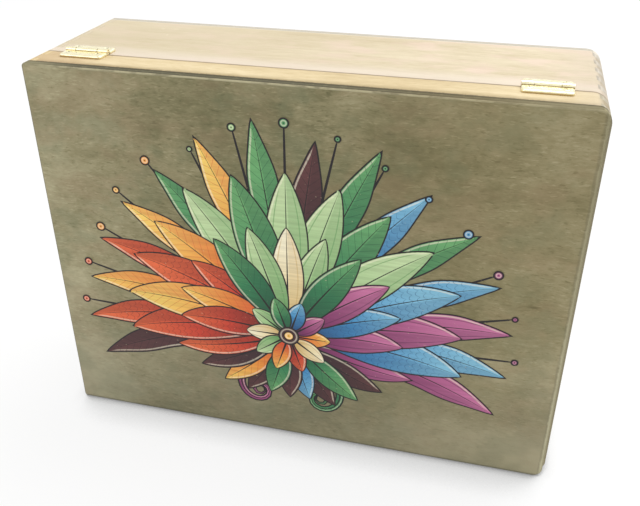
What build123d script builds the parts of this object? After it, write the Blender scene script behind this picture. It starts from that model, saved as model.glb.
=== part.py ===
from build123d import *
import math
import os

# Card storage box in stained plywood, standing on its opening side as it is kept on a shelf:
# X runs along the hinges, -Y is the lid's panel, +Y is the base panel, +Z is the hinge side.
# The origin is the middle of the footprint, on the surface that the box stands on.

# Overall box
box_width = 301.5
box_height = 228.0
box_depth = 105.0
lid_depth = 25.5
seam_gap = 0.3

# Plywood
wall_thickness = 6.0
lid_panel_thickness = 6.0
base_panel_thickness = 6.0
partition_thickness = 4.0
divider_thickness = 3.0

# Sanded edges. At the right end the walls stand a little proud of the lid's panel.
upper_right_radius = 9.0
lower_right_radius = 7.0
panel_right_radius = 5.5
panel_right_inset = 1.5
left_corner_radius = 2.0
arris_radius = 1.5
rim_chamfer = 0.5

# Finger joints, counted from the seam to the base panel
body_finger_count = 10

# Card rows and their dividers
partition_drop = 1.0
divider_clearance = 0.3
divider_drop = 1.5
divider_corner_radius = 3.0
tab_width = 34.0
tab_headroom = 7.5
tab_corner_radius = 6.0

# Where the two dividers of each row stand, measured from the left and the right end wall,
# with one pair for each row, the lowest first
divider_insets = [(52.0, 98.0), (106.0, 40.0), (73.0, 76.0)]

# Hinges: two pressed brass butt hinges on the outside, knuckles over the seam
left_hinge_inset = 26.0
right_hinge_inset = 30.0
hinge_length = 25.0
leaf_reach = 9.5
leaf_thickness = 1.6
leaf_corner_radius = 2.0
leaf_edge_radius = 0.9
fold_clearance = 0.1
knuckle_lift = 0.3
middle_knuckle_length = 12.8
knuckle_end_gap = 0.15
knuckle_slit = 0.35
pin_radius = 0.7
pin_clearance = 0.05
pin_chamfer = 0.2

# Hinge screws: small countersunk crossheads
screw_inset = 3.8
lid_screw_offset = 4.7
body_screw_offset = 6.4
screw_length = 5.2
screw_radius = 0.8
screw_head_radius = 1.7
screw_head_crown = 0.25
screw_recess_width = 0.35
screw_recess_length = 1.7
screw_recess_depth = 0.55
leaf_hole_clearance = 0.1
pilot_clearance = 0.03

# Closing magnets in the rims of the opening side
magnet_radius = 2.0
magnet_length = 3.0
magnet_inset = 42.0
magnet_recess = 0.1
magnet_pocket_clearance = 0.05

# Planes that the pieces share
right_x = box_width / 2
left_x = -right_x
front_y = -box_depth / 2
back_y = box_depth / 2
seam_y = front_y + lid_depth
panel_inner_y = front_y + lid_panel_thickness
base_inner_y = back_y - base_panel_thickness
lid_rim_y = seam_y - seam_gap / 2
body_rim_y = seam_y + seam_gap / 2
inner_width = box_width - 2 * wall_thickness
inner_height = box_height - 2 * wall_thickness
row_count = len(divider_insets)
row_height = (inner_height - (row_count - 1) * partition_thickness) / row_count
leaf_top_z = box_height + leaf_thickness
hinge_axis_z = leaf_top_z + fold_clearance
knuckle_radius = hinge_axis_z - box_height - knuckle_lift
screw_pitch = hinge_length - 2 * screw_inset
hinge_centres = {"left": left_x + left_hinge_inset, "right": right_x - right_hinge_inset}
magnet_places_x = (left_x + magnet_inset, right_x - magnet_inset)
finger = (base_inner_y - seam_y) / body_finger_count
lid_finger_count = math.ceil((seam_y - panel_inner_y) / finger)


def finish(piece, name):
    # Labels one finished piece and writes it to its own file.
    piece.part.label = name
    export_step(piece.part, f"parts/{name}.step")


def upright(y):
    # A plane parallel to the lid's panel: sketch x is X, sketch y is Z.
    return Plane.XZ.offset(-y)


def row_floor(row):
    # The height of the surface that the cards of one row rest on.
    return wall_thickness + row * (row_height + partition_thickness)


def envelope(y_front, y_back, soft_face=None, rim_face=None, inset=0.0,
             right_radii=(lower_right_radius, upper_right_radius)):
    # The sanded outside between two depths: rounded corners, with soft edges round one face and a fine
    # chamfer round the rim where they are asked for. The inset is the right end's, and the soft edge stays
    # inside the tighter corners' radius.
    with BuildPart() as block:
        with BuildSketch(upright(y_front)) as outline:
            with Locations((-inset / 2, box_height / 2)):
                Rectangle(box_width - inset, box_height)
            for end, radius in zip((0, -1), right_radii):
                fillet(outline.vertices().group_by(Axis.X)[-1].sort_by(Axis.Y)[end], radius)
            fillet(outline.vertices().group_by(Axis.X)[0], left_corner_radius)
        extrude(amount=y_front - y_back)
        if soft_face is not None:
            soft_edge = min(arris_radius, 0.8 * left_corner_radius)
            fillet(block.faces().sort_by(Axis.Y)[soft_face].edges(), soft_edge)
        if rim_face is not None:
            chamfer(block.faces().sort_by(Axis.Y)[rim_face].edges(), rim_chamfer)
    return block.part


def cut_boxes(spans, width, height, x, z):
    # Takes the mating fingers' places out of both ends of a wall.
    for y_low, y_high in spans:
        with Locations(*[(sx, (y_low + y_high) / 2, sz) for sx in x for sz in z]):
            Box(width, y_high - y_low, height, mode=Mode.SUBTRACT)


def screw_places(side, offset):
    # The two screws of one leaf, seen from above the hinge side.
    centre = hinge_centres[side]
    return [(centre - screw_pitch / 2, seam_y + offset), (centre + screw_pitch / 2, seam_y + offset)]


os.makedirs("parts", exist_ok=True)

lid_outside = envelope(panel_inner_y, lid_rim_y, rim_face=-1)
body_outside = envelope(body_rim_y, back_y, soft_face=-1, rim_face=0)

body_spans = [(seam_y + n * finger, seam_y + (n + 1) * finger) for n in range(body_finger_count)]
lid_spans = [(seam_y - (n + 1) * finger, seam_y - n * finger) for n in range(lid_finger_count)]

# One entry for each half: its frame's depth, its outside, the fingers that the end walls push
# through the long walls, the fingers of the long walls, its screws' offset and its magnets' depth.
halves = {
    "body": {
        "low": body_rim_y,
        "high": base_inner_y,
        "outside": body_outside,
        "end_fingers": body_spans[1::2],
        "long_fingers": body_spans[0::2],
        "screw_offset": body_screw_offset,
        "magnet_low": body_rim_y + magnet_recess,
        "pocket_low": body_rim_y,
    },
    "lid": {
        "low": panel_inner_y,
        "high": lid_rim_y,
        "outside": lid_outside,
        "end_fingers": lid_spans[0::2],
        "long_fingers": lid_spans[1::2],
        "screw_offset": -lid_screw_offset,
        "magnet_low": lid_rim_y - magnet_recess - magnet_length,
        "pocket_low": lid_rim_y - magnet_recess - magnet_length,
    },
}

end_centres_x = (left_x + wall_thickness / 2, right_x - wall_thickness / 2)
long_centres_z = (wall_thickness / 2, box_height - wall_thickness / 2)

for half, form in halves.items():
    depth = form["high"] - form["low"]
    middle_y = (form["low"] + form["high"]) / 2

    # Hinge-side wall, with pilot holes for the hinge screws
    with BuildPart() as hinge_wall:
        with Locations((0, middle_y, box_height - wall_thickness / 2)):
            Box(box_width, depth, wall_thickness)
        cut_boxes(form["end_fingers"], wall_thickness, wall_thickness, end_centres_x, long_centres_z[1:])
        add(form["outside"], mode=Mode.INTERSECT)
        for side in hinge_centres:
            with BuildSketch(Plane.XY.offset(box_height)):
                with Locations(*screw_places(side, form["screw_offset"])):
                    Circle(screw_radius + pilot_clearance)
            extrude(amount=-(screw_length - leaf_thickness), mode=Mode.SUBTRACT)
    finish(hinge_wall, f"{half}_hinge_wall")

    # Opening-side wall, with pockets for the magnets in its rim
    with BuildPart() as opening_wall:
        with Locations((0, middle_y, wall_thickness / 2)):
            Box(box_width, depth, wall_thickness)
        cut_boxes(form["end_fingers"], wall_thickness, wall_thickness, end_centres_x, long_centres_z[:1])
        add(form["outside"], mode=Mode.INTERSECT)
        with BuildSketch(upright(form["pocket_low"])):
            with Locations(*[(x, wall_thickness / 2) for x in magnet_places_x]):
                Circle(magnet_radius + magnet_pocket_clearance)
        extrude(amount=-(magnet_length + magnet_recess), mode=Mode.SUBTRACT)
    finish(opening_wall, f"{half}_opening_wall")

    # End walls
    for side, centre_x in zip(hinge_centres, end_centres_x):
        with BuildPart() as end_wall:
            with Locations((centre_x, middle_y, box_height / 2)):
                Box(wall_thickness, depth, box_height)
            cut_boxes(form["long_fingers"], wall_thickness, wall_thickness, [centre_x], long_centres_z)
            add(form["outside"], mode=Mode.INTERSECT)
        finish(end_wall, f"{half}_{side}_end")

    # Rim magnets
    with BuildPart() as magnets:
        with BuildSketch(upright(form["magnet_low"])):
            with Locations(*[(x, wall_thickness / 2) for x in magnet_places_x]):
                Circle(magnet_radius)
        extrude(amount=-magnet_length)
    finish(magnets, f"{half}_magnets")

# Lid panel, the decorated front
with BuildPart() as lid_panel:
    add(envelope(front_y, panel_inner_y, 0, inset=panel_right_inset, right_radii=(panel_right_radius,) * 2))
finish(lid_panel, "lid_panel")

# Base panel, the back as the box stands
with BuildPart() as base_panel:
    with Locations((0, back_y - base_panel_thickness / 2, box_height / 2)):
        Box(box_width, base_panel_thickness, box_height)
    add(body_outside, mode=Mode.INTERSECT)
finish(base_panel, "base_panel")

# Partitions between the rows, a little lower than the body's rim
partition_front_y = body_rim_y + partition_drop
for row in range(1, row_count):
    with BuildPart() as partition:
        with Locations((0, (partition_front_y + base_inner_y) / 2, row_floor(row) - partition_thickness / 2)):
            Box(inner_width, base_inner_y - partition_front_y, partition_thickness)
    finish(partition, f"partition_{row}")

# Loose dividers that slide along the rows, each with a finger tab
plate_front_y = body_rim_y + divider_drop
plate_back_y = base_inner_y - divider_clearance
plate_width = row_height - 2 * divider_clearance
tab_front_y = panel_inner_y + tab_headroom
tab_rise = plate_front_y - tab_front_y
for row, (left_inset, right_inset) in enumerate(divider_insets):
    divider_places = (left_x + wall_thickness + left_inset, right_x - wall_thickness - right_inset)
    for number, place_x in enumerate(divider_places, start=1):
        with BuildPart() as divider:
            with BuildSketch(Plane.YZ.offset(place_x - divider_thickness / 2)) as plate:
                with Locations(((plate_front_y + plate_back_y) / 2, row_floor(row) + row_height / 2)):
                    Rectangle(plate_back_y - plate_front_y, plate_width)
                fillet(plate.vertices().group_by(Axis.Y)[0], divider_corner_radius)
                with BuildSketch(mode=Mode.PRIVATE) as tab:
                    with Locations((plate_front_y, row_floor(row) + row_height / 2)):
                        Rectangle(2 * tab_rise, tab_width)
                    fillet(tab.vertices(), tab_corner_radius)
                add(tab.sketch)
            extrude(amount=divider_thickness)
        finish(divider, f"divider_row{row + 1}_{number}")

# Hinge screw, its head's rim level with the top of the leaf. A shallow crown still has three
# quarters of its height at half the head's radius.
head_depth = screw_head_radius - screw_radius
crown_middle = (screw_head_radius / 2, 0.75 * screw_head_crown)
with BuildPart() as screw:
    with BuildSketch(Plane.XZ):
        with BuildLine():
            ThreePointArc((screw_head_radius, 0), crown_middle, (0, screw_head_crown))
            Polyline(
                (0, screw_head_crown),
                (0, -screw_length),
                (screw_radius, -screw_length + screw_radius),
                (screw_radius, -head_depth),
                (screw_head_radius, 0),
            )
        make_face()
    revolve(axis=Axis.Z)
    with Locations((0, 0, screw_head_crown - screw_recess_depth / 2)):
        Box(screw_recess_length, screw_recess_width, screw_recess_depth, mode=Mode.SUBTRACT)
        Box(screw_recess_width, screw_recess_length, screw_recess_depth, mode=Mode.SUBTRACT)

# The left hinge has its end knuckles on the lid, the right hinge has them on the body
end_knuckle_owner = {"left": "lid", "right": "body"}
leaf_directions = {"lid": -1, "body": 1}
slit_reach = knuckle_radius + knuckle_slit

for side, centre_x in hinge_centres.items():
    low_x = centre_x - hinge_length / 2
    high_x = centre_x + hinge_length / 2
    middle_low_x = centre_x - middle_knuckle_length / 2
    middle_high_x = centre_x + middle_knuckle_length / 2
    end_knuckles = [(low_x, middle_low_x), (middle_high_x, high_x)]
    middle_knuckle = [(middle_low_x, middle_high_x)]

    for half, direction in leaf_directions.items():
        owns_ends = end_knuckle_owner[side] == half
        own_spans = end_knuckles if owns_ends else middle_knuckle
        other_spans = middle_knuckle if owns_ends else end_knuckles
        bore_radius = pin_radius + pin_clearance
        offset = halves[half]["screw_offset"]
        screw_seats = [(x, y, leaf_top_z) for x, y in screw_places(side, offset)]
        with BuildPart() as leaf:
            with BuildSketch(Plane.XY.offset(box_height)) as blank:
                with Locations((centre_x, seam_y + direction * leaf_reach / 2)):
                    Rectangle(hinge_length, leaf_reach)
                outer = -1 if direction > 0 else 0
                fillet(blank.vertices().group_by(Axis.Y)[outer], leaf_corner_radius)
            extrude(amount=leaf_thickness)
            rounded = leaf.faces().sort_by(Axis.Z)[-1].edges()
            inner_edge = rounded.sort_by(Axis.Y)[0 if direction > 0 else -1]
            fillet([edge for edge in rounded if edge != inner_edge], leaf_edge_radius)
            for x0, x1 in own_spans:
                with BuildSketch(Plane.YZ.offset(x0)):
                    with Locations((seam_y, hinge_axis_z)):
                        Circle(knuckle_radius)
                extrude(amount=x1 - x0)
            for x0, x1 in other_spans:
                slit_low = x0 - (0 if x0 == low_x else knuckle_end_gap)
                slit_high = x1 + (0 if x1 == high_x else knuckle_end_gap)
                with Locations(((slit_low + slit_high) / 2, seam_y, hinge_axis_z)):
                    Box(slit_high - slit_low, 2 * slit_reach, 4 * knuckle_radius, mode=Mode.SUBTRACT)
            with BuildSketch(Plane.YZ.offset(low_x)):
                with Locations((seam_y, hinge_axis_z)):
                    Circle(bore_radius)
            extrude(amount=hinge_length, mode=Mode.SUBTRACT)
            with Locations(*screw_seats):
                CounterSinkHole(
                    radius=screw_radius + leaf_hole_clearance,
                    counter_sink_radius=screw_head_radius + leaf_hole_clearance,
                    depth=leaf_thickness,
                    counter_sink_angle=90,
                )
        finish(leaf, f"{half}_hinge_leaf_{side}")

        with BuildPart() as leaf_screws:
            with Locations(*screw_seats):
                add(screw.part)
        finish(leaf_screws, f"{half}_hinge_screws_{side}")

    with BuildPart() as pin:
        with BuildSketch(Plane.YZ.offset(low_x)):
            with Locations((seam_y, hinge_axis_z)):
                Circle(pin_radius)
        extrude(amount=hinge_length)
        chamfer(pin.edges().filter_by(GeomType.CIRCLE), pin_chamfer)
    finish(pin, f"hinge_pin_{side}")
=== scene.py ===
import math
import random
import bmesh
import bpy
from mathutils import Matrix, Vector


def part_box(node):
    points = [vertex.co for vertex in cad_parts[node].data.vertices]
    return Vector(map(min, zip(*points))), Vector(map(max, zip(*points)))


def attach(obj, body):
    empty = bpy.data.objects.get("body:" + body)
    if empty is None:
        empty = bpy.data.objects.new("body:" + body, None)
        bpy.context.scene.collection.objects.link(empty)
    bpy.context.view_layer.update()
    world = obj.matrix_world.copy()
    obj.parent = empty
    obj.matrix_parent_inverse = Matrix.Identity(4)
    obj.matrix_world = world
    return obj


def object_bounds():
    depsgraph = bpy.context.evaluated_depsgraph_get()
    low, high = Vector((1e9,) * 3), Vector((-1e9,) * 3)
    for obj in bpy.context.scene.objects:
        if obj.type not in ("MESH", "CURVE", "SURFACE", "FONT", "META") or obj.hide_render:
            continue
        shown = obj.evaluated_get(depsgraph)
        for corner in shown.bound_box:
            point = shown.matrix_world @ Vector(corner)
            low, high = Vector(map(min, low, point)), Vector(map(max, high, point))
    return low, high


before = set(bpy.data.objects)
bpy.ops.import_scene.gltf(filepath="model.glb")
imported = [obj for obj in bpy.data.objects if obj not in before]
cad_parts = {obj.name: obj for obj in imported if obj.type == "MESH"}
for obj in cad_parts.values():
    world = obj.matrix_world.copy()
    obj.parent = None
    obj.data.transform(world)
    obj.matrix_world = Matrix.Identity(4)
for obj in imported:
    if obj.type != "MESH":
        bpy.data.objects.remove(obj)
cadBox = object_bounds()
print("frame loaded:", len(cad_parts), "nodes")


def tone(red, green, blue):
    # a screen colour, 0 to 255, as the linear colour that a shader takes
    shares = [value / 255 for value in (red, green, blue)]
    return (*[s / 12.92 if s <= 0.04045 else ((s + 0.055) / 1.055) ** 2.4 for s in shares], 1.0)


# small helpers for node trees
noiseSlant = (1.0, 0.7, 1.3)      # the way in which a shift moves a noise
opennessRays = 8


def newMaterial(name):
    material = bpy.data.materials.new(name)
    material.use_nodes = True
    return material, material.node_tree, material.node_tree.nodes["Principled BSDF"]


def plug(tree, socket, value):
    if isinstance(value, bpy.types.NodeSocket):
        tree.links.new(value, socket)
    else:
        socket.default_value = value


def calc(tree, operation, *values, clamp=False):
    step = tree.nodes.new("ShaderNodeMath")
    step.operation = operation
    step.use_clamp = clamp
    for socket, value in zip(step.inputs, values):
        plug(tree, socket, value)
    return step.outputs[0]


def calcVector(tree, operation, *values):
    step = tree.nodes.new("ShaderNodeVectorMath")
    step.operation = operation
    for socket, value in zip(step.inputs, values):
        plug(tree, socket, value)
    return step


def parts(tree, vector):
    # the X, Y and Z of a vector
    step = tree.nodes.new("ShaderNodeSeparateXYZ")
    tree.links.new(vector, step.inputs[0])
    return step.outputs


def spread(tree, value, low, high, toLow=0.0, toHigh=1.0, smooth=True):
    # moves a value from one range to another and holds it at both ends
    step = tree.nodes.new("ShaderNodeMapRange")
    step.interpolation_type = "SMOOTHSTEP" if smooth else "LINEAR"
    for socket, number in zip(step.inputs, (value, low, high, toLow, toHigh)):
        plug(tree, socket, number)
    return step.outputs[0]


def blendTones(tree, share, first, second):
    step = tree.nodes.new("ShaderNodeMix")
    step.data_type = "RGBA"
    plug(tree, step.inputs["Factor"], share)
    plug(tree, step.inputs[6], first)
    plug(tree, step.inputs[7], second)
    return step.outputs[2]


def colourRamp(tree, value, places, tones):
    step = tree.nodes.new("ShaderNodeValToRGB")
    ramp = step.color_ramp
    while len(ramp.elements) < len(places):
        ramp.elements.new(1.0)
    for element, place, colour in zip(ramp.elements, places, tones):
        element.position = place
        element.color = colour
    plug(tree, step.inputs[0], value)
    return step.outputs[0]


def noise(tree, coords, sizes, detail=3.0, roughness=0.5, shift=0.0, asColour=False):
    # sizes are the lengths of one feature along X, Y and Z, in metres
    mapping = tree.nodes.new("ShaderNodeMapping")
    mapping.inputs["Scale"].default_value = [1 / size for size in sizes]
    mapping.inputs["Location"].default_value = [shift * way for way in noiseSlant]
    plug(tree, mapping.inputs["Vector"], coords)
    step = tree.nodes.new("ShaderNodeTexNoise")
    step.inputs["Scale"].default_value = 1.0
    step.inputs["Detail"].default_value = detail
    step.inputs["Roughness"].default_value = roughness
    tree.links.new(mapping.outputs[0], step.inputs["Vector"])
    return step.outputs[1 if asColour else 0]


def openness(tree, reach, lean=None):
    # 1 in the open, and less where something stands within reach; a lean says which way it looks
    step = tree.nodes.new("ShaderNodeAmbientOcclusion")
    step.samples = opennessRays
    step.inputs["Distance"].default_value = reach
    if lean:
        way = tree.nodes.new("ShaderNodeCombineXYZ")
        for socket, value in zip(way.inputs, lean):
            socket.default_value = value
        tree.links.new(way.outputs[0], step.inputs["Normal"])
    return step.outputs["AO"]


def bump(tree, shader, height, distance, strength):
    step = tree.nodes.new("ShaderNodeBump")
    step.inputs["Strength"].default_value = strength
    step.inputs["Distance"].default_value = distance
    plug(tree, step.inputs["Height"], height)
    tree.links.new(step.outputs[0], shader.inputs["Normal"])


def finishNode(name, material):
    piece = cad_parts[name]
    if not piece.material_slots:
        piece.data.materials.append(material)
    for holder in piece.material_slots:
        holder.material = material


# camera, at the photograph's viewing angle
viewpoint = {
    "place": (0.10417, -0.40718, 0.34717),
    "aim": (0.01366, -0.0525, 0.13503),   # a point on the lid's face
    "lens": 43.63,
    "sensor": 36.0,
}


def makeCamera():
    camera = bpy.data.objects.new("photoCamera", bpy.data.cameras.new("photoCamera"))
    camera.data.lens = viewpoint["lens"]
    camera.data.sensor_width = viewpoint["sensor"]
    camera.location = viewpoint["place"]
    gaze = Vector(viewpoint["aim"]) - Vector(viewpoint["place"])
    camera.rotation_euler = gaze.to_track_quat("-Z", "Y").to_euler()
    bpy.context.scene.collection.objects.link(camera)
    bpy.context.scene.camera = camera


makeCamera()
print("camera placed")

# studio: a white floor, a large soft lamp above and behind, a weak one in front, and an even pale sky
studio = {
    "floorSize": 12.0,
    "floorTone": tone(238, 238, 236),
    "floorRoughness": 0.9,
    "floorSpecular": 0.1,
    "floorShadow": 0.16,      # how much of the floor's own shading the camera sees
    "shadeReach": 0.043,      # the painted shadow leans forward, away from the lamp
    "shadeLean": (0.0, 0.7, 0.7),
    "shadeSpan": (0.29, 0.62),
    "shadeDeepest": 0.66,
    "besideReach": 0.010,     # a faint painted one lies all round, dark where the object meets the floor
    "besideSpan": (0.5, 1.0),
    "besideDeepest": 0.91,
    "creaseSpan": (0.5, 0.60),
    "creaseDeepest": 0.50,
    "skyTone": tone(252, 253, 255),
    "skyLevel": 0.80,
    "keyPlace": (0.55, 0.80, 1.80),
    "keyAim": (0.0, 0.0, 0.10),
    "keySize": 1.5,
    "keyPower": 33.0,
    "fillPlace": (-1.3, -1.2, 1.1),
    "fillSize": 1.6,
    "fillPower": 7.0,
}


def seenRay(tree):
    # 1 for what the camera sees, straight, in a reflection or through glass
    path = tree.nodes.new("ShaderNodeLightPath")
    seen = calc(tree, "MAXIMUM", path.outputs["Is Camera Ray"], path.outputs["Is Glossy Ray"])
    return calc(tree, "MAXIMUM", seen, path.outputs["Is Transmission Ray"])


def makeSky():
    world = bpy.data.worlds.new("studioSky")
    bpy.context.scene.world = world
    world.use_nodes = True
    tree = world.node_tree
    background = tree.nodes["Background"]
    background.inputs["Color"].default_value = studio["skyTone"]
    level = calc(tree, "MULTIPLY_ADD", seenRay(tree), 1.0 - studio["skyLevel"], studio["skyLevel"])
    plug(tree, background.inputs["Strength"], level)


def makeFloor():
    sheet = bmesh.new()
    bmesh.ops.create_grid(sheet, x_segments=1, y_segments=1, size=studio["floorSize"] / 2)
    mesh = bpy.data.meshes.new("studioFloor")
    sheet.to_mesh(mesh)
    sheet.free()
    floor = bpy.data.objects.new("studioFloor", mesh)
    bpy.context.scene.collection.objects.link(floor)
    material, tree, shader = newMaterial("floorPaper")
    shader.inputs["Base Color"].default_value = studio["floorTone"]
    shader.inputs["Roughness"].default_value = studio["floorRoughness"]
    shader.inputs["Specular IOR Level"].default_value = studio["floorSpecular"]
    # painted shadow: occlusion dims the glow that the camera sees on the floor
    around = openness(tree, studio["shadeReach"], studio["shadeLean"])
    beside = openness(tree, studio["besideReach"])
    shade = spread(tree, around, *studio["shadeSpan"], studio["shadeDeepest"], 1.0, smooth=False)
    faint = spread(tree, beside, *studio["besideSpan"], studio["besideDeepest"], 1.0)
    crease = spread(tree, beside, *studio["creaseSpan"], studio["creaseDeepest"], 1.0)
    shade = calc(tree, "MULTIPLY", shade, calc(tree, "MULTIPLY", faint, crease))
    glow = tree.nodes.new("ShaderNodeEmission")
    tree.links.new(shade, glow.inputs["Strength"])
    mixer = tree.nodes.new("ShaderNodeMixShader")
    plug(tree, mixer.inputs[0], calc(tree, "MULTIPLY", seenRay(tree), 1.0 - studio["floorShadow"]))
    tree.links.new(shader.outputs[0], mixer.inputs[1])
    tree.links.new(glow.outputs[0], mixer.inputs[2])
    tree.links.new(mixer.outputs[0], tree.nodes["Material Output"].inputs["Surface"])
    mesh.materials.append(material)


def makeLamp(name, place, aim, size, power):
    lamp = bpy.data.objects.new(name, bpy.data.lights.new(name, "AREA"))
    lamp.data.shape = "DISK"
    lamp.data.size = size
    lamp.data.energy = power
    lamp.location = place
    lamp.rotation_euler = (Vector(aim) - Vector(place)).to_track_quat("-Z", "Y").to_euler()
    bpy.context.scene.collection.objects.link(lamp)


makeSky()
makeFloor()
makeLamp("keyLamp", studio["keyPlace"], studio["keyAim"], studio["keySize"], studio["keyPower"])
makeLamp("fillLamp", studio["fillPlace"], studio["keyAim"], studio["fillSize"], studio["fillPower"])
bpy.context.scene.view_settings.view_transform = "Standard"
print("studio lit")

# birch plywood: stained or bare outside, bare inside, with its plies showing on the edges
# the shades run from the darkest grain to the palest
# a layer is one scale of the grain: its length, its width, its detail and its weight
# an arris has the first tone where it faces left or down, and the second where it faces right or up:
# painted shade and a painted highlight, broken up by real wear
panelStain = {
    "shades": [tone(82, 81, 52), tone(112, 107, 74), tone(140, 132, 98), tone(174, 166, 133)],
    "blush": tone(154, 131, 102), "blushShare": 0.26,
    "cast": tone(112, 118, 88), "castShare": 0.34,
    "edgeShades": [tone(80, 76, 60), tone(94, 90, 70)],
    "arris": (tone(74, 72, 52), tone(176, 168, 136)), "arrisShare": 0.88,
    "layers": [(0.080, 0.055, 3.0, 0.80), (0.019, 0.013, 3.0, 0.40), (0.0060, 0.0034, 3.0, 0.36),
               (0.018, 0.0016, 4.0, 0.15), (0.0030, 0.0006, 2.0, 0.24)],
    "lightFleck": 0.15, "darkFleck": 0.17, "glueShare": 0.15, "chips": 0.15,
    "roughness": 0.52,
}
wallStain = {
    "shades": [tone(168, 146, 104), tone(194, 174, 132), tone(208, 190, 150), tone(222, 207, 170)],
    "edgeShades": [tone(134, 126, 110), tone(174, 164, 142)],
    "arris": (tone(170, 162, 144), tone(198, 190, 174)), "arrisShare": 0.50,
    "layers": [(0.110, 0.050, 3.0, 0.80), (0.030, 0.010, 3.0, 0.40), (0.011, 0.0034, 3.0, 0.30),
               (0.060, 0.0018, 4.0, 0.44), (0.0042, 0.0006, 2.0, 0.20)],
    "lightFleck": 0.05, "darkFleck": 0.10, "glueShare": 0.45,
    "roughness": 0.50,
}
bodyStain = {
    **wallStain, "blush": tone(208, 184, 168), "blushShare": 0.60,
    "shades": [tone(162, 144, 112), tone(186, 171, 139), tone(199, 185, 155), tone(214, 203, 178)],
}
endStain = {
    **wallStain, "arris": (tone(176, 168, 150), tone(202, 196, 184)), "arrisShare": 0.60,
    "shades": [tone(160, 147, 122), tone(184, 172, 146), tone(197, 186, 162), tone(212, 202, 180)],
}
baseStain = {
    **wallStain, "blush": tone(208, 182, 148), "blushShare": 0.35,
    "shades": [tone(162, 145, 114), tone(186, 171, 140), tone(200, 186, 156), tone(215, 204, 178)],
    "edgeShades": [tone(156, 150, 136), tone(202, 194, 178)],
    "arris": (tone(196, 192, 178), tone(220, 213, 198)), "arrisShare": 0.70,
    "layers": [(0.160, 0.050, 3.0, 0.50), (0.060, 0.011, 3.0, 0.30), (0.015, 0.0034, 3.0, 0.26),
               (0.080, 0.0018, 4.0, 0.56), (0.0042, 0.0006, 2.0, 0.20)],
}
bareBirch = {
    "shades": [tone(188, 160, 112), tone(210, 184, 138), tone(222, 199, 154), tone(233, 214, 174)],
    "blush": tone(222, 190, 150), "blushShare": 0.2,
    "edgeShades": [tone(158, 126, 84), tone(206, 180, 134)],
    "arris": (tone(214, 192, 148), tone(226, 206, 164)), "arrisShare": 0.3,
    "layers": [(0.070, 0.040, 3.0, 0.50), (0.020, 0.010, 3.0, 0.30), (0.050, 0.0016, 4.0, 0.50),
               (0.0042, 0.0005, 2.0, 0.18)],
    "lightFleck": 0.05, "darkFleck": 0.10, "glueShare": 0.45,
    "roughness": 0.58,
}

# shared by every sheet
figure = {
    "shadePlaces": (0.10, 0.40, 0.62, 0.95),     # where the four shades lie in the strength of the grain
    "insideShades": [tone(196, 170, 122), tone(216, 192, 146), tone(226, 204, 160), tone(236, 218, 178)],
    "roughness": 0.6,
    "middle": 0.5,               # what a noise is on average
    "layerShift": 2.3,           # from one layer of the grain to the next
    "dividerShift": 1.7,         # from one divider to the next
    "wander": 0.045,             # over what distance the grain wanders, and how far it does
    "warp": 0.009,
    "warpAlong": 0.4,            # the share of it along the grain, which a blot is moved by as well
    "blotSpan": (0.1, 1.2),
    "raggedDetail": 3.0,
    "raggedShift": 2.0,
    "faceTurn": (0.80, 0.97),    # how squarely a surface faces one way, where it counts as a face,
    "endTurn": (0.5, 0.8),       # as end grain
    "arrisTurn": (0.97, 0.86),   # or as an arris
    "insideDepth": (0.90, 0.97),
    "litSpan": (-0.4, 0.4),
    "leastArrisShare": 0.45,
    "toneSpan": (0.2, 0.9),      # dark grain is rougher and pale grain smoother
    "toneRoughness": (0.07, -0.05),
    "edgeRoughness": 0.80,
    "edgeSpecular": 0.10,
    "faceSpecular": 0.32,
    "poreDepth": 0.00012,
    "poreStrength": 0.5,
    "streakHeight": 0.5,
}

# patches in the grain: length, width, detail, shift, and the noise at which a patch starts and is full
patchKinds = {
    "lightFleck": (0.0055, 0.0011, 2.0, 3.0, 0.58, 0.70),
    "darkFleck": (0.0046, 0.0012, 2.0, 8.0, 0.58, 0.72),
    "blush": (0.034, 0.018, 3.0, 12.0, 0.45, 0.68),
    "cast": (0.026, 0.020, 3.0, 16.0, 0.46, 0.66),
    "chips": (0.0030, 0.0014, 3.0, 20.0, 0.56, 0.68),
    "worn": (0.0090, 0.0030, 3.0, 24.0, 0.36, 0.58),
}
plies = {
    "count": 5,
    "lastPly": 0.9999,           # keeps the inside face in the last ply
    "streak": (0.040, 0.0016, 4.0, 0.0),
    "streakShare": 0.9,
    "glueLine": 0.00009,         # half the width of a dark glue line
    "glueTone": tone(70, 52, 34),
    "glueStart": (0.02, 0.06),   # there is none at the outside face
}


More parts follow.
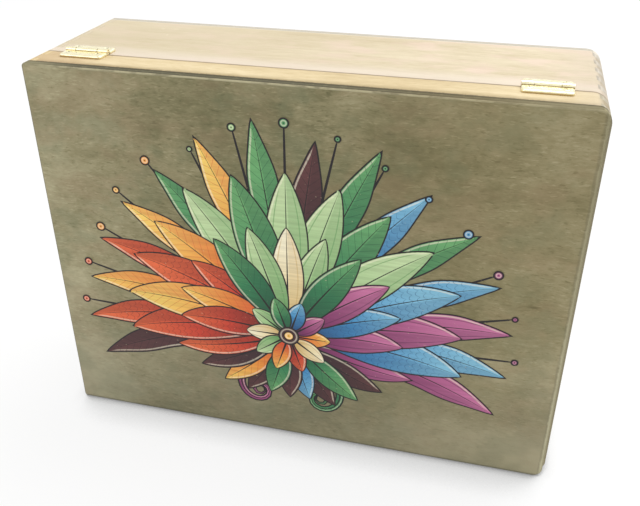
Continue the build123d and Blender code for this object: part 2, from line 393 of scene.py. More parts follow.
def plywood(node, sheet):
    material, tree, shader = newMaterial(node + "_ply")
    finish, shift = sheet["finish"], sheet["shift"]
    low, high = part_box(node)
    across = "XYZ".index(sheet["across"])
    thickness = high[across] - low[across]
    ends = (low[across], high[across]) if sheet["outside"] == "low" else (high[across], low[across])

    coords = tree.nodes.new("ShaderNodeTexCoord").outputs
    place = parts(tree, coords["Object"])
    facing = parts(tree, coords["Normal"])
    turns = {axis: calc(tree, "ABSOLUTE", facing[axis]) for axis in "XYZ"}

    # depth into the sheet, 0 at its outside face and 1 at its inside face
    depth = spread(tree, place[across], *ends, smooth=False)
    onFace = spread(tree, turns[sheet["across"]], *figure["faceTurn"])
    onEndGrain = spread(tree, turns[sheet["grain"]], *figure["endTurn"])
    squareness = calc(tree, "MAXIMUM", calc(tree, "MAXIMUM", turns["X"], turns["Y"]), turns["Z"])
    onArris = spread(tree, squareness, *figure["arrisTurn"])

    # the grain wanders, so every layer of it is read from pushed coordinates
    wander = noise(tree, coords["Object"], [figure["wander"]] * 3, asColour=True)
    pushes = [figure["warp"] * (figure["warpAlong"] if axis == sheet["grain"] else 1.0) for axis in "XYZ"]
    pushed = calcVector(tree, "MULTIPLY_ADD", wander, pushes, coords["Object"]).outputs[0]

    def grainNoise(length, width, detail, step):
        sizes = [length if axis == sheet["grain"] else width for axis in "XYZ"]
        return noise(tree, pushed, sizes, detail, figure["roughness"], shift + step)

    def patches(kind, least, most):
        length, width, detail, step, start, full = patchKinds[kind]
        return spread(tree, grainNoise(length, width, detail, step), start, full, least, most)

    def aboutMiddle(value, weight, onto, clamp=False):
        # adds a noise to a value, up or down from its middle
        swing = calc(tree, "SUBTRACT", value, figure["middle"])
        return calc(tree, "MULTIPLY_ADD", swing, weight, onto, clamp=clamp)

    # the strength of the grain, from 0 where it is darkest to 1 where it is palest
    total = figure["middle"]
    for number, (length, width, detail, weight) in enumerate(finish["layers"]):
        layer = grainNoise(length, width, detail, figure["layerShift"] * number)
        total = aboutMiddle(layer, weight, total)
    finest = layer
    total = calc(tree, "MULTIPLY_ADD", patches("lightFleck", 0.0, 1.0), finish["lightFleck"], total)
    total = calc(tree, "MULTIPLY_ADD", patches("darkFleck", 0.0, 1.0), -finish["darkFleck"], total)
    for drift in sheet.get("drifts", []):
        # a slow change along one axis
        change = spread(tree, place[drift["along"]], drift["full"], drift["gone"], drift["amount"], 0.0)
        total = calc(tree, "ADD", total, change)
    for blot in sheet.get("blots", []):
        # a soft spot, dark or pale, whose outline follows the pushed coordinates
        moved = figure["warp"] * figure["warpAlong"]
        scale = [1 / size if size else 0.0 for size in blot["size"]]
        middle = [(at + moved) / size if size else 0.0 for at, size in zip(blot["at"], blot["size"])]
        stretched = calcVector(tree, "MULTIPLY", pushed, scale).outputs[0]
        away = calcVector(tree, "DISTANCE", stretched, middle).outputs["Value"]
        total = calc(tree, "ADD", total, spread(tree, away, *figure["blotSpan"], blot["amount"], 0.0))
    total = calc(tree, "ADD", total, 0.0, clamp=True)

    face = colourRamp(tree, total, figure["shadePlaces"], finish["shades"])
    inside = colourRamp(tree, total, figure["shadePlaces"], figure["insideShades"])
    for kind in ("blush", "cast"):
        if kind in finish:
            face = blendTones(tree, patches(kind, 0.0, finish[kind + "Share"]), face, finish[kind])

    # plies: on an edge, every other ply shows end grain, and the glue lines are dark
    streak = grainNoise(*plies["streak"])
    rise = calc(tree, "MULTIPLY", depth, plies["count"])
    inPly = calc(tree, "FLOOR", calc(tree, "MULTIPLY", rise, plies["lastPly"]))
    crossPly = calc(tree, "PINGPONG", inPly, 1.0)
    darkPly = calc(tree, "ABSOLUTE", calc(tree, "SUBTRACT", crossPly, onEndGrain))
    grained = aboutMiddle(streak, plies["streakShare"], darkPly, clamp=True)
    darkEdge, paleEdge = finish["edgeShades"]
    edge = blendTones(tree, grained, paleEdge, darkEdge)
    toLine = calc(tree, "PINGPONG", rise, 0.5)
    glue = spread(tree, toLine, plies["glueLine"] / thickness * plies["count"], 0.0)
    glue = calc(tree, "MULTIPLY", glue, spread(tree, depth, *plies["glueStart"]))
    edge = blendTones(tree, calc(tree, "MULTIPLY", glue, finish["glueShare"]), edge, plies["glueTone"])
    if "chips" in finish:
        edge = blendTones(tree, patches("chips", 0.0, finish["chips"]), edge, finish["shades"][-1])

    # painted light on the arris: paler where it faces right or up, darker where it faces left or down, in
    # patches of wear
    litSide = calc(tree, "ADD", facing["X"], facing["Z"])
    arris = blendTones(tree, spread(tree, litSide, *figure["litSpan"]), *finish["arris"])
    worn = patches("worn", finish["arrisShare"] * figure["leastArrisShare"], finish["arrisShare"])
    wornAndLitArris = calc(tree, "MULTIPLY", onArris, worn)
    colour = blendTones(tree, wornAndLitArris, blendTones(tree, onFace, edge, face), arris)
    for stain in sheet.get("stains", []):
        # a tone over the grain, with a ragged border
        ragged = noise(tree, pushed, stain["raggedSize"], figure["raggedDetail"], figure["roughness"],
                       figure["raggedShift"])
        reach = aboutMiddle(ragged, stain["ragged"], place[stain["along"]])
        share = spread(tree, reach, stain["full"], stain["gone"], stain["share"], 0.0)
        if stain.get("edgeOnly"):
            share = calc(tree, "MULTIPLY", share, calc(tree, "SUBTRACT", 1.0, onFace))
        if "lowest" in stain:
            share = calc(tree, "MULTIPLY", share, spread(tree, place["Z"], *stain["lowest"], 1.0, 0.0))
        colour = blendTones(tree, share, colour, stain["tone"])
    onInside = calc(tree, "MULTIPLY", onFace, spread(tree, depth, *figure["insideDepth"]))
    colour = blendTones(tree, onInside, colour, inside)
    tree.links.new(colour, shader.inputs["Base Color"])

    rough = calc(tree, "ADD", spread(tree, total, *figure["toneSpan"], *figure["toneRoughness"]),
                 spread(tree, onFace, 0.0, 1.0, figure["edgeRoughness"], finish["roughness"]))
    shine = spread(tree, onFace, 0.0, 1.0, figure["edgeSpecular"], figure["faceSpecular"])
    tree.links.new(rough, shader.inputs["Roughness"])
    tree.links.new(shine, shader.inputs["Specular IOR Level"])
    height = calc(tree, "MULTIPLY_ADD", streak, figure["streakHeight"], finest)
    bump(tree, shader, height, figure["poreDepth"], figure["poreStrength"])
    return material


sheets = {
    "lid_panel": {"across": "Y", "outside": "low", "grain": "X", "finish": panelStain, "shift": 1.0},
    "base_panel": {"across": "Y", "outside": "high", "grain": "X", "finish": baseStain, "shift": 4.0},
    "partition_1": {"across": "Z", "outside": "low", "grain": "X", "finish": bareBirch, "shift": 2.0},
    "partition_2": {"across": "Z", "outside": "low", "grain": "X", "finish": bareBirch, "shift": 6.0},
}
walls = {
    "hinge_wall": {"across": "Z", "outside": "high", "grain": "X"},
    "opening_wall": {"across": "Z", "outside": "low", "grain": "X"},
    "left_end": {"across": "X", "outside": "low", "grain": "Z"},
    "right_end": {"across": "X", "outside": "high", "grain": "Z"},
}
for wall, sheet in walls.items():
    sheets["lid_" + wall] = {**sheet, "finish": wallStain, "shift": 3.0}
    sheets["body_" + wall] = {**sheet, "finish": bodyStain, "shift": 5.0}
dividers = sorted(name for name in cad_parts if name.startswith("divider_"))
for number, divider in enumerate(dividers):
    sheets[divider] = {"across": "X", "outside": "low", "grain": "Z", "finish": bareBirch,
                       "shift": figure["dividerShift"] * number}

# the finger tabs hardly show at the left end, and the body's are greyer than the lid's
endEdges = {
    "lid_left_end": [tone(192, 170, 130), tone(202, 183, 144)],
    "lid_right_end": [tone(158, 146, 124), tone(182, 168, 144)],
    "body_left_end": [tone(189, 176, 152), tone(197, 185, 161)],
    "body_right_end": [tone(157, 147, 131), tone(180, 169, 152)],
}
for end, shades in endEdges.items():
    sheets[end]["finish"] = {**endStain, "edgeShades": shades}

# what the stains follow: the panel's edges, its joint with the walls, the seam between lid and body, and
# the ends of the box
panelLow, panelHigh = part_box("lid_panel")
jointLine = panelHigh.y
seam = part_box("lid_hinge_wall")[1].y
leftEnd, rightEnd = cadBox[0][0], cadBox[1][0]

# the panel is paler toward both ends, partly a thinner stain and partly painted sheen, and paler low down
sheets["lid_panel"]["drifts"] = [
    {"along": "X", "full": -0.152, "gone": -0.060, "amount": 0.24},
    {"along": "X", "full": 0.152, "gone": 0.090, "amount": 0.14},
    {"along": "Z", "full": 0.0, "gone": 0.110, "amount": 0.08},
]
sheets["lid_panel"]["blots"] = [
    {"at": (-0.126, 0, 0.184), "size": (0.016, 0, 0.013), "amount": -0.14},
    {"at": (-0.082, 0, 0.196), "size": (0.015, 0, 0.012), "amount": -0.12},
    {"at": (-0.040, 0, 0.220), "size": (0.018, 0, 0.010), "amount": -0.09},
    {"at": (-0.012, 0, 0.214), "size": (0.020, 0, 0.013), "amount": -0.11},
    {"at": (0.049, 0, 0.206), "size": (0.018, 0, 0.012), "amount": -0.10},
    {"at": (0.036, 0, 0.036), "size": (0.024, 0, 0.014), "amount": -0.05},
    {"at": (0.034, 0, 0.196), "size": (0.070, 0, 0.036), "amount": -0.06},
    {"at": (-0.138, 0, 0.222), "size": (0.022, 0, 0.014), "amount": 0.09},
    {"at": (0.122, 0, 0.222), "size": (0.034, 0, 0.014), "amount": 0.08},
    {"at": (0.112, 0, 0.004), "size": (0.104, 0, 0.034), "amount": 0.44},
    {"at": (-0.144, 0, 0.060), "size": (0.014, 0, 0.050), "amount": 0.08},
    {"at": (-0.132, 0, 0.016), "size": (0.024, 0, 0.020), "amount": 0.11},
    {"at": (0.1275, 0, 0.120), "size": (0.0042, 0, 0.0009), "amount": -0.40},
]
sheets["lid_panel"]["stains"] = [
    # browner to the right, greyer low down
    {"along": "X", "full": 0.120, "gone": -0.020, "share": 0.22,
     "tone": tone(136, 116, 72), "ragged": 0.10, "raggedSize": (0.05, 0.05, 0.03)},
    {"along": "Z", "full": 0.010, "gone": 0.110, "share": 0.30,
     "tone": tone(132, 129, 111), "ragged": 0.06, "raggedSize": (0.05, 0.05, 0.03)},
    # the right edge is pale, partly wear and partly a painted highlight, most of all low down, and a dark
    # line of painted shade lies inside that
    {"along": "X", "full": panelHigh.x - 0.00205, "gone": panelHigh.x - 0.00305, "share": 0.30,
     "tone": tone(92, 88, 68), "ragged": 0.0022, "raggedSize": (0.003, 0.003, 0.007)},
    {"along": "X", "full": panelHigh.x - 0.00085, "gone": panelHigh.x - 0.00185, "share": 0.50,
     "tone": tone(166, 160, 128), "ragged": 0.0022, "raggedSize": (0.003, 0.003, 0.005)},
    {"along": "X", "full": panelHigh.x - 0.00105, "gone": panelHigh.x - 0.00245, "share": 0.60,
     "tone": tone(192, 186, 154), "ragged": 0.0022, "raggedSize": (0.003, 0.003, 0.005),
     "lowest": (0.030, 0.200)},
    # the left and bottom edges are dark with painted shade
    {"along": "X", "full": panelLow.x + 0.00045, "gone": panelLow.x + 0.00155, "share": 0.50,
     "tone": tone(98, 96, 80), "ragged": 0.0006, "raggedSize": (0.003, 0.003, 0.008)},
    {"along": "Z", "full": panelLow.z + 0.0006, "gone": panelLow.z + 0.0026, "share": 0.60,
     "tone": tone(70, 69, 54), "ragged": 0.0008, "raggedSize": (0.008, 0.003, 0.003)},
    # the plies are paler toward both ends and dark along the joint
    {"along": "X", "full": panelLow.x + 0.00275, "gone": panelLow.x + 0.03475, "share": 0.60,
     "tone": tone(138, 131, 102), "ragged": 0.012, "raggedSize": (0.010, 0.003, 0.003), "edgeOnly": True},
    {"along": "X", "full": panelHigh.x - 0.00925, "gone": panelHigh.x - 0.06925, "share": 0.50,
     "tone": tone(138, 131, 102), "ragged": 0.012, "raggedSize": (0.010, 0.003, 0.003), "edgeOnly": True},
    {"along": "Y", "full": jointLine - 0.0004, "gone": jointLine - 0.0018, "share": 0.80,
     "tone": tone(66, 60, 44), "ragged": 0.0012, "raggedSize": (0.004, 0.002, 0.003), "edgeOnly": True},
]

# the lid's hinge wall is brown beside the joint with the panel, duller at its right end, browner at its
# left end and dark at the seam
sheets["lid_hinge_wall"]["stains"] = [
    {"along": "Y", "full": jointLine + 0.0012, "gone": jointLine + 0.0062, "share": 0.74,
     "tone": tone(154, 134, 90), "ragged": 0.0040, "raggedSize": (0.006, 0.003, 0.003)},
    {"along": "Y", "full": jointLine + 0.0004, "gone": jointLine + 0.0011, "share": 0.75,
     "tone": tone(112, 96, 62), "ragged": 0.0042, "raggedSize": (0.0018, 0.0010, 0.0010)},
    {"along": "X", "full": rightEnd - 0.005, "gone": rightEnd - 0.032, "share": 0.52,
     "tone": tone(184, 167, 137), "ragged": 0.02, "raggedSize": (0.03, 0.004, 0.004)},
    {"along": "X", "full": rightEnd - 0.0045, "gone": rightEnd - 0.0075, "share": 0.50,
     "tone": tone(150, 138, 112), "ragged": 0.002, "raggedSize": (0.003, 0.003, 0.003)},
    {"along": "X", "full": leftEnd + 0.010, "gone": leftEnd + 0.060, "share": 0.50,
     "tone": tone(176, 146, 108), "ragged": 0.02, "raggedSize": (0.03, 0.004, 0.004)},
    {"along": "Y", "full": seam - 0.0001, "gone": seam - 0.0014, "share": 0.75,
     "tone": tone(140, 116, 80), "ragged": 0.0010, "raggedSize": (0.02, 0.002, 0.003)},
]
# painted highlight: paler toward the right end; and a little darker toward the left
sheets["lid_hinge_wall"]["drifts"] = [
    {"along": "X", "full": 0.128, "gone": 0.070, "amount": 0.20},
    {"along": "X", "full": 0.020, "gone": 0.070, "amount": -0.08},
]

# the body's is yellower to the left, paler beside the seam but dark at it, and greyer at its right end
sheets["body_hinge_wall"]["stains"] = [
    {"along": "X", "full": leftEnd + 0.030, "gone": leftEnd + 0.270, "share": 0.60,
     "tone": tone(184, 170, 139), "ragged": 0.06, "raggedSize": (0.03, 0.010, 0.004)},
    {"along": "Y", "full": seam + 0.004, "gone": seam + 0.020, "share": 0.55,
     "tone": tone(210, 197, 182), "ragged": 0.008, "raggedSize": (0.05, 0.010, 0.004)},
    {"along": "X", "full": rightEnd - 0.004, "gone": rightEnd - 0.036, "share": 0.40,
     "tone": tone(186, 171, 150), "ragged": 0.02, "raggedSize": (0.03, 0.010, 0.004)},
    {"along": "Y", "full": seam + 0.0001, "gone": seam + 0.0016, "share": 0.60,
     "tone": tone(140, 114, 84), "ragged": 0.0010, "raggedSize": (0.02, 0.002, 0.003)},
]

# small pale scuffs near the left end of the body's hinge wall, and a faint streak near its middle
sheets["body_hinge_wall"]["blots"] = [
    {"at": (-0.109, 0.0350, 0), "size": (0.0016, 0.0012, 0), "amount": 0.40},
    {"at": (-0.101, 0.0362, 0), "size": (0.0020, 0.0008, 0), "amount": 0.45},
    {"at": (-0.101, 0.0226, 0), "size": (0.0008, 0.0016, 0), "amount": 0.50},
    {"at": (-0.092, 0.0300, 0), "size": (0.0024, 0.0007, 0), "amount": 0.40},
    {"at": (0.030, 0.0100, 0), "size": (0.0500, 0.0030, 0), "amount": 0.06},
]

# the panel's stain has run onto the rim beside it
for wall in ("lid_right_end", "lid_opening_wall"):
    sheets[wall]["stains"] = [
        {"along": "Y", "full": jointLine + 0.0002, "gone": jointLine + 0.0016, "share": 0.70,
         "tone": tone(156, 149, 122), "ragged": 0.0006, "raggedSize": (0.004, 0.002, 0.004)},
    ]

# the lid's upper right corner is darker than the body's
sheets["lid_right_end"]["stains"].append(
    {"along": "Z", "full": 0.218, "gone": 0.196, "share": 0.45,
     "tone": tone(160, 153, 128), "ragged": 0.006, "raggedSize": (0.004, 0.004, 0.004)})

for node, sheet in sheets.items():
    finishNode(node, plywood(node, sheet))
print("plywood finished:", len(sheets), "sheets")

# metal: pressed brass hinges and screws, and nickel magnets
brass = {
    "light": tone(250, 243, 205), "dark": tone(242, 231, 188),
    "roughLow": 0.20, "roughHigh": 0.36, "pitSize": 0.0012,
    "tarnishAndShade": tone(158, 124, 72), "hollowReach": 0.0011,
}
nickel = {
    "light": tone(214, 212, 206), "dark": tone(170, 166, 158),
    "roughLow": 0.22, "roughHigh": 0.36, "pitSize": 0.0008,
    "tarnishAndShade": tone(120, 116, 108), "hollowReach": 0.0008,
}

# shared by both metals: tarnish gathers in the hollows, and painted shade darkens what faces forward or
# down
plating = {
    "cloudSize": 0.004, "cloudRoughness": 0.6, "cloudSpan": (0.35, 0.65),
    "hollowSpan": (0.35, 0.85), "hollowShare": 0.80,
    "forwardPart": -0.6, "belowSpan": (0.30, 0.60), "belowShare": 0.68,
    "pitDetail": 2.0, "pitSpan": (0.3, 0.7), "pitDepth": 0.00002, "pitStrength": 0.3,
}

# the cross in a screw's head is dark with painted shade, from the first depth below its top to the second
cross = {"start": 0.00030, "full": 0.00048, "tone": tone(120, 84, 44), "share": 0.7}


def plated(name, metal, headTop=None):
    material, tree, shader = newMaterial(name)
    coords = tree.nodes.new("ShaderNodeTexCoord").outputs
    cloud = noise(tree, coords["Object"], [plating["cloudSize"]] * 3, roughness=plating["cloudRoughness"])
    pits = noise(tree, coords["Object"], [metal["pitSize"]] * 3, plating["pitDetail"])
    colour = blendTones(tree, spread(tree, cloud, *plating["cloudSpan"]), metal["light"], metal["dark"])
    hollow = openness(tree, metal["hollowReach"])
    inHollow = spread(tree, hollow, *plating["hollowSpan"], plating["hollowShare"], 0.0)
    # painted shade: the metal is darker where it faces forward or down
    facing = parts(tree, coords["Normal"])
    forward = calc(tree, "MULTIPLY", facing["Y"], plating["forwardPart"])
    below = calc(tree, "SUBTRACT", forward, facing["Z"])
    paintedShadeBelow = spread(tree, below, *plating["belowSpan"], 0.0, plating["belowShare"])
    colour = blendTones(tree, calc(tree, "MAXIMUM", inHollow, paintedShadeBelow), colour, metal["tarnishAndShade"])
    if headTop is not None:
        # painted shade in the cross of the screw head
        height = parts(tree, coords["Object"])["Z"]
        sunk = spread(tree, height, headTop - cross["start"], headTop - cross["full"])
        colour = blendTones(tree, calc(tree, "MULTIPLY", sunk, cross["share"]), colour, cross["tone"])
    tree.links.new(colour, shader.inputs["Base Color"])
    shader.inputs["Metallic"].default_value = 1.0
    rough = spread(tree, pits, *plating["pitSpan"], metal["roughLow"], metal["roughHigh"])
    tree.links.new(rough, shader.inputs["Roughness"])
    bump(tree, shader, pits, plating["pitDepth"], plating["pitStrength"])
    return material


leafBrass = plated("hinge_brass", brass)
screwBrass = plated("screw_brass", brass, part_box("lid_hinge_screws_left")[1].z)
magnetNickel = plated("magnet_nickel", nickel)
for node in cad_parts:
    if "hinge_leaf" in node or node.startswith("hinge_pin"):
        finishNode(node, leafBrass)
    elif "hinge_screws" in node:
        finishNode(node, screwBrass)
    elif "magnets" in node:
        finishNode(node, magnetNickel)
print("metal finished")

# printed panel: a fan of leaves that springs from a rosette low on the lid
artwork = {
    "root": (0.1455, 0.0760),      # where the fan springs from, from the panel's lower left corner
    "lift": 0.00003,               # of the lowest ink layer off the wood
    "layerStep": 0.00001,
    "rowLayers": 4,                # neighbours in a row lie on that many layers in turn
    "film": 0.000006,
    "mergeReach": 0.000001,
    "steps": 36, "lanes": 6,
    "dotSides": 20,
    "dotShare": 0.6,               # a dot takes its tone from that far along a leaf
}
fanRoot = Vector((panelLow.x + artwork["root"][0], panelLow.z + artwork["root"][1]))

# each ink runs from a leaf's root to its tip; the marks are what is drawn inside the outline
inks = {
    "ember": {"tones": [tone(112, 32, 26), tone(196, 62, 42), tone(224, 104, 60)], "marks": "scales"},
    "flame": {"tones": [tone(206, 78, 44), tone(232, 146, 60), tone(244, 204, 104)], "marks": "veins"},
    "spring": {"tones": [tone(92, 146, 84), tone(160, 194, 136), tone(190, 212, 160)], "marks": "ribs"},
    "emerald": {"tones": [tone(24, 78, 54), tone(50, 124, 80), tone(104, 164, 104)], "marks": "veins"},
    "water": {"tones": [tone(34, 78, 124), tone(64, 138, 188), tone(128, 186, 212)], "marks": "scales"},
    "berry": {"tones": [tone(84, 32, 70), tone(146, 62, 112), tone(196, 112, 154)], "marks": "ribs"},
    "cream": {"tones": [tone(204, 168, 104), tone(236, 216, 166), tone(242, 232, 200)], "marks": "ribs"},
    "shade": {"tones": [tone(44, 26, 30), tone(62, 36, 40), tone(92, 52, 52)], "marks": "veins"},
}

# shared by every ink: one side of a leaf is shaded and the other has a pale line inside its margin
drawing = {
    "tonePlaces": (0.06, 0.42, 0.88), "toneShift": 0.22,
    "shadedSpan": (-0.05, -0.16), "shadedShare": 0.34,
    "glintInside": 0.0017, "glintWidth": 0.0010, "glintSpan": (0.25, 0.45), "glintShare": 0.42,
    "glintTone": tone(250, 240, 214),
    "marksShare": 0.62,
    "outline": 0.00088, "lineTone": tone(30, 24, 26),
    "lineEdge": (0.62, 0.38),      # where a drawn line is gone and where it is full, in widths
    "midrib": 0.0007,              # half its width at a leaf's root; it thins to nothing at the tip
    "midribEdge": (0.00012, -0.00004), "midribEnd": (1.0, 0.98),
    "roughness": 0.46, "specular": 0.4,
}

# sizes are in metres, but the ribs' pitch is a share of a leaf's half width
marks = {
    "veins": {"slant": 1.1, "pitch": 0.0029, "width": 0.00042, "fade": (0.92, 0.72)},
    "ribs": {"pitch": 0.31, "width": 0.00055, "fade": (0.96, 0.80)},
    "scales": {"row": 0.0040, "half": 0.0021, "bow": -0.0022, "start": 0.0006, "width": 0.00040,
               "fade": (0.94, 0.74)},
}

# the wood's grain and worn spots, which show through the ink
underInk = {
    "grainSize": (0.050, 0.05, 0.0016), "grainDetail": 5.0, "grainRoughness": 0.62, "grainShift": 1.0,
    "grainSpan": (0.30, 0.72), "grainVeil": (0.86, 1.06), "grainDepth": 0.00010, "grainStrength": 0.35,
    "wornSize": (0.0016, 0.05, 0.0011), "wornDetail": 2.0, "wornShift": 4.0, "wornSpan": (0.70, 0.78),
    "wornShare": 0.45, "wornTone": tone(206, 196, 160),
}


def leafHeading(leaf, share):
    return math.radians(leaf["angle"] + leaf["bend"] * share ** leaf.get("curl", 1.0))


def leafLine(leaf):
    # walks along the middle of a leaf, turning as it goes
    steps = artwork["steps"]
    x, z = leaf["start"]
    line = [(x, z, leafHeading(leaf, 0.0))]
    for step in range(steps):
        heading = leafHeading(leaf, (step + 0.5) / steps)
        x += leaf["length"] / steps * math.cos(heading)
        z += leaf["length"] / steps * math.sin(heading)
        line.append((x, z, leafHeading(leaf, (step + 1) / steps)))
    return line


def halfWidth(leaf, share):
    bulge = max(0.0, math.sin(math.pi * share ** leaf["belly"])) ** leaf["fullness"]
    ripple = 1.0 + leaf.get("ripple", 0.0) * math.sin(math.tau * leaf.get("waves", 0) * share)
    return leaf["width"] / 2 * bulge * ripple


def inkDepth(layer):
    return panelLow.y - artwork["lift"] - layer * artwork["layerStep"]


def addLeaf(bm, leaf):
    steps, lanes = artwork["steps"], artwork["lanes"]
    line = leafLine(leaf)
    grid = bmesh.ops.create_grid(bm, x_segments=steps, y_segments=lanes, size=0.5)
    for vert in grid["verts"]:
        share, side = vert.co.x + 0.5, vert.co.y * 2
        step = round(share * steps)
        x, z, heading = line[step]
        half = halfWidth(leaf, share) if 0 < step < steps else 0.0
        vert[bm.verts.layers.float_vector["leafPlace"]] = (share, side, leaf["seed"])
        vert[bm.verts.layers.float_vector["leafSize"]] = (share * leaf["length"], half, 0.0)
        vert.co = (x - math.sin(heading) * side * half, inkDepth(leaf["layer"]),
                   z + math.cos(heading) * side * half)


def addDot(bm, dot):
    ring = bmesh.ops.create_circle(bm, cap_ends=True, cap_tris=True, segments=artwork["dotSides"],
                                   radius=dot["radius"])
    for vert in ring["verts"]:
        side = vert.co.length / dot["radius"]
        vert[bm.verts.layers.float_vector["leafPlace"]] = (artwork["dotShare"], side, dot["seed"])
        vert[bm.verts.layers.float_vector["leafSize"]] = (0.0, dot["radius"], 0.0)
        vert.co = (dot["start"][0] + vert.co.x, inkDepth(dot["layer"]), dot["start"][1] + vert.co.y)


def inkMaterial(name, ink):
    material, tree, shader = newMaterial(name)

    def attribute(name):
        source = tree.nodes.new("ShaderNodeAttribute")
        source.attribute_name = name
        return parts(tree, source.outputs["Vector"])

    def drawnLine(gap, width):
        # 1 on a line of that width, where gap is the distance to its middle
        return spread(tree, gap, *[width * edge for edge in drawing["lineEdge"]])

    share, side, seed = attribute("leafPlace")
    reach, half = attribute("leafSize")[:2]
    across = calc(tree, "ABSOLUTE", side)
    offMiddle = calc(tree, "MULTIPLY", across, half)
    toMargin = calc(tree, "SUBTRACT", half, offMiddle)

    tones, toneShift = ink["tones"], drawing["toneShift"]
    ramped = calc(tree, "MULTIPLY_ADD", seed, toneShift, calc(tree, "SUBTRACT", share, toneShift / 2))
    colour = colourRamp(tree, ramped, drawing["tonePlaces"], tones)
    shaded = calc(tree, "MULTIPLY", spread(tree, side, *drawing["shadedSpan"]), drawing["shadedShare"])
    colour = blendTones(tree, shaded, colour, tones[0])
    toGlint = calc(tree, "ABSOLUTE", calc(tree, "SUBTRACT", toMargin, drawing["glintInside"]))
    glint = calc(tree, "MULTIPLY", drawnLine(toGlint, drawing["glintWidth"]),
                 spread(tree, side, *drawing["glintSpan"]))
    glint = calc(tree, "MULTIPLY", glint, drawing["glintShare"])
    colour = blendTones(tree, glint, colour, drawing["glintTone"])

    mark = marks[ink["marks"]]
    if ink["marks"] == "veins":
        # slanting lines that fade toward the margin
        slant = calc(tree, "SUBTRACT", reach, calc(tree, "MULTIPLY", offMiddle, mark["slant"]))
        gap, fading = calc(tree, "PINGPONG", slant, mark["pitch"]), across
    elif ink["marks"] == "ribs":
        # long lines that fade toward the tip
        gap, fading = calc(tree, "MULTIPLY", calc(tree, "PINGPONG", across, mark["pitch"]), half), share
    else:
        # rows of bowed scales, every other row half a scale aside
        row = calc(tree, "FLOOR", calc(tree, "DIVIDE", reach, mark["row"]))
        odd = calc(tree, "MULTIPLY", calc(tree, "MODULO", row, 2.0), mark["half"])
        column = calc(tree, "PINGPONG", calc(tree, "ADD", offMiddle, odd), mark["half"])
        inRow = calc(tree, "SUBTRACT", reach, calc(tree, "MULTIPLY", row, mark["row"]))
        bow = calc(tree, "POWER", calc(tree, "DIVIDE", column, mark["half"]), 2.0)
        start = calc(tree, "SUBTRACT", inRow, mark["start"])
        gap, fading = calc(tree, "ABSOLUTE", calc(tree, "MULTIPLY_ADD", bow, mark["bow"], start)), share
    drawn = calc(tree, "MULTIPLY", drawnLine(gap, mark["width"]), spread(tree, fading, *mark["fade"]))
    colour = blendTones(tree, calc(tree, "MULTIPLY", drawn, drawing["marksShare"]), colour, tones[0])

    midrib = calc(tree, "MULTIPLY", calc(tree, "SUBTRACT", 1.0, share), drawing["midrib"])
    onMidrib = spread(tree, calc(tree, "SUBTRACT", offMiddle, midrib), *drawing["midribEdge"])
    onMidrib = calc(tree, "MULTIPLY", onMidrib, spread(tree, across, *drawing["midribEnd"]))
    onMargin = drawnLine(toMargin, drawing["outline"] * 2)
    colour = blendTones(tree, calc(tree, "MAXIMUM", onMargin, onMidrib), colour, drawing["lineTone"])

    coords = tree.nodes.new("ShaderNodeTexCoord").outputs["Object"]
    grain = noise(tree, coords, underInk["grainSize"], underInk["grainDetail"], underInk["grainRoughness"],
                  underInk["grainShift"])
    worn = noise(tree, coords, underInk["wornSize"], underInk["wornDetail"], shift=underInk["wornShift"])
    veiled = calcVector(tree, "SCALE", colour)
    plug(tree, veiled.inputs["Scale"], spread(tree, grain, *underInk["grainSpan"], *underInk["grainVeil"]))
    bare = calc(tree, "MULTIPLY", spread(tree, worn, *underInk["wornSpan"]), underInk["wornShare"])
    colour = blendTones(tree, bare, veiled.outputs[0], underInk["wornTone"])
    tree.links.new(colour, shader.inputs["Base Color"])
    shader.inputs["Roughness"].default_value = drawing["roughness"]
    shader.inputs["Specular IOR Level"].default_value = drawing["specular"]
    bump(tree, shader, grain, underInk["grainDepth"], underInk["grainStrength"])
    return material


# rows of the fan, each laid from its first angle to its last; a higher layer lies nearer the front
fanRows = [
    {"inks": ["berry", "water", "berry", "water", "emerald", "water", "emerald", "shade", "emerald",
              "flame", "emerald", "flame", "ember", "flame", "ember", "shade"],
     "from": -4, "to": 184, "gap": 0.012, "length": 0.116, "rise": 0.002, "vary": 0.005,
     "width": 0.0185, "droop": 26, "belly": 1.35, "fullness": 0.85, "ripple": 0.05, "waves": 3, "layer": 4},
    {"inks": ["water", "berry", "water", "spring", "emerald", "spring", "spring", "emerald", "spring",
              "flame", "ember", "flame", "ember"],
     "from": 4, "to": 176, "gap": 0.010, "length": 0.092, "rise": 0.004, "vary": 0.003,
     "width": 0.0255, "droop": 22, "belly": 1.10, "fullness": 0.80, "layer": 12},
    {"inks": ["berry", "water", "berry", "emerald", "spring", "cream", "spring", "emerald", "ember",
              "flame", "ember"],
     "from": 10, "to": 170, "gap": 0.008, "length": 0.060, "rise": 0.006, "vary": 0.002,
     "width": 0.0200, "droop": 16, "belly": 0.95, "fullness": 0.75, "layer": 16},
    {"inks": ["shade", "berry", "shade", "emerald", "shade", "water", "shade", "emerald", "shade",
              "flame", "shade", "ember", "shade"],
     "from": -9, "to": -171, "gap": 0.006, "length": 0.086, "rise": -0.044, "vary": 0.003,
     "width": 0.0165, "droop": -20, "belly": 1.1, "fullness": 0.85, "layer": 8},
    {"inks": ["flame", "berry", "water", "emerald", "spring", "cream", "spring", "flame", "ember", "cream"],
     "from": 0, "to": 324, "gap": 0.004, "length": 0.022, "rise": 0.0, "vary": 0.001,
     "width": 0.0125, "droop": 0, "belly": 0.9, "fullness": 0.62, "layer": 20},
]
tendril = {"length": 0.112, "width": 0.0060, "belly": 0.50, "fullness": 0.50, "curl": 3.4, "seed": 0.5}
tendrils = [
    {**tendril, "ink": "emerald", "angle": -40, "bend": -700, "layer": 2},
    {**tendril, "ink": "berry", "angle": 220, "bend": 700, "layer": 3},
]
rosette = [
    {"ink": "shade", "radius": 0.0066, "seed": 0.5, "layer": 24},
    {"ink": "flame", "radius": 0.0034, "seed": 0.9, "layer": 25},
]
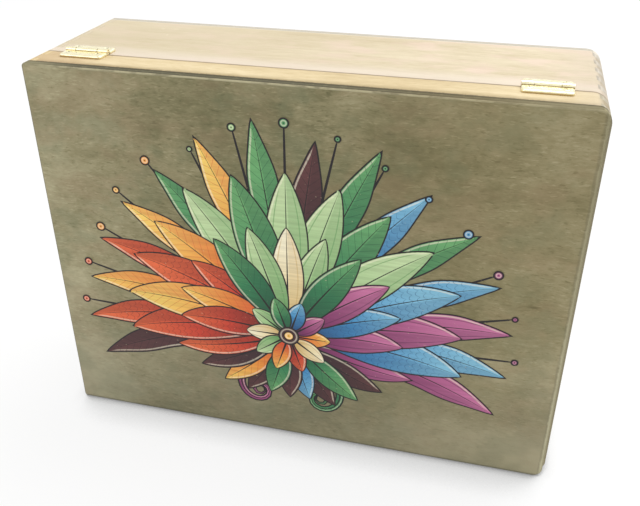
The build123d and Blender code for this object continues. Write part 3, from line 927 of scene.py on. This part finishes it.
berries = {
    "inks": ["berry", "water", "emerald", "spring", "flame", "ember"],
    "count": 15, "from": 2.3, "to": 177.7, "ring": 0.130, "ringVary": (-0.006, 0.003),
    "radius": 0.0024, "radiusVary": 0.0006, "layer": 26, "stemLayers": 2,
}
stem = {"ink": "shade", "width": 0.0016, "bend": 0, "belly": 0.9, "fullness": 0.2, "seed": 0.2}

chance = random.Random(11)


def outwardFrom(angle):
    return Vector((math.cos(math.radians(angle)), math.sin(math.radians(angle))))


def spacedAngle(group, number, count):
    # the angle of one of that many pieces, laid evenly from a group's first angle to its last
    return group["from"] + (group["to"] - group["from"]) * number / (count - 1)


def fanLeaf(row, number, ink):
    # one leaf of a row, which droops the more the flatter it lies
    angle = spacedAngle(row, number, len(row["inks"]))
    outward = outwardFrom(angle)
    return {
        **row, "ink": ink, "angle": angle, "seed": chance.random(),
        "start": fanRoot + outward * row["gap"],
        "length": row["length"] + row["rise"] * abs(outward.y) + chance.uniform(-1, 1) * row["vary"],
        "bend": -row["droop"] * math.cos(math.radians(angle)),
        "layer": row["layer"] + number % artwork["rowLayers"],
    }


def fanPieces():
    leaves = [fanLeaf(row, number, ink) for row in fanRows for number, ink in enumerate(row["inks"])]
    leaves += [{**curled, "start": fanRoot} for curled in tendrils]
    dots = [{**dot, "start": fanRoot} for dot in rosette]
    for number in range(berries["count"]):
        # a berry stands on a thin stem between two leaves of the back row
        angle = spacedAngle(berries, number, berries["count"])
        away = berries["ring"] + chance.uniform(*berries["ringVary"])
        leaves.append({**stem, "start": fanRoot, "angle": angle, "length": away,
                       "layer": number % berries["stemLayers"]})
        dots.append({"ink": berries["inks"][number * len(berries["inks"]) // berries["count"]],
                     "start": fanRoot + outwardFrom(angle) * away,
                     "radius": berries["radius"] + chance.uniform(-1, 1) * berries["radiusVary"],
                     "seed": chance.random(), "layer": berries["layer"]})
    return leaves, dots


def printPiece(name, ink, leaves, dots):
    bm = bmesh.new()
    bm.verts.layers.float_vector.new("leafPlace")
    bm.verts.layers.float_vector.new("leafSize")
    for leaf in leaves:
        addLeaf(bm, leaf)
    for dot in dots:
        addDot(bm, dot)
    bmesh.ops.remove_doubles(bm, verts=bm.verts, dist=artwork["mergeReach"])
    bmesh.ops.solidify(bm, geom=bm.faces[:], thickness=artwork["film"])
    bmesh.ops.recalc_face_normals(bm, faces=bm.faces)
    mesh = bpy.data.meshes.new(name)
    bm.to_mesh(mesh)
    bm.free()
    piece = bpy.data.objects.new(name, mesh)
    bpy.context.scene.collection.objects.link(piece)
    mesh.materials.append(inkMaterial(name + "_ink", ink))
    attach(piece, "lid")


allLeaves, allDots = fanPieces()
for inkName, ink in inks.items():
    printPiece("print_" + inkName, ink, [leaf for leaf in allLeaves if leaf["ink"] == inkName],
               [dot for dot in allDots if dot["ink"] == inkName])
print("panel printed:", len(allLeaves), "leaves and", len(allDots), "dots")
